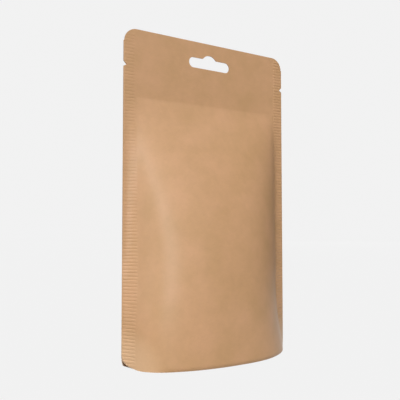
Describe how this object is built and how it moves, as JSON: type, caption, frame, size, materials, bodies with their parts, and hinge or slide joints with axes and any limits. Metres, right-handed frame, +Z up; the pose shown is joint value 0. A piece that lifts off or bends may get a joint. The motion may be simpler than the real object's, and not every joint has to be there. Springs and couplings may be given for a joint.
{
  "type": "kraft pouch",
  "caption": "Shut, filled stand-up pouch of kraft paper with crimped side seals, a flat header with a hanging slot and tear notches, and a gusseted oval base.",
  "frame": {"origin": "centre of the pouch's footprint, on the surface it stands on", "axes": "+Z up, front of the pouch towards -Y, +X along its width to the right as seen from the front"},
  "size_m": [0.125, 0.062, 0.205],
  "materials": {
    "kraft": "satin"
  },
  "bodies": {
    "root": {"pouch": "kraft"}
  },
  "joints": []
}
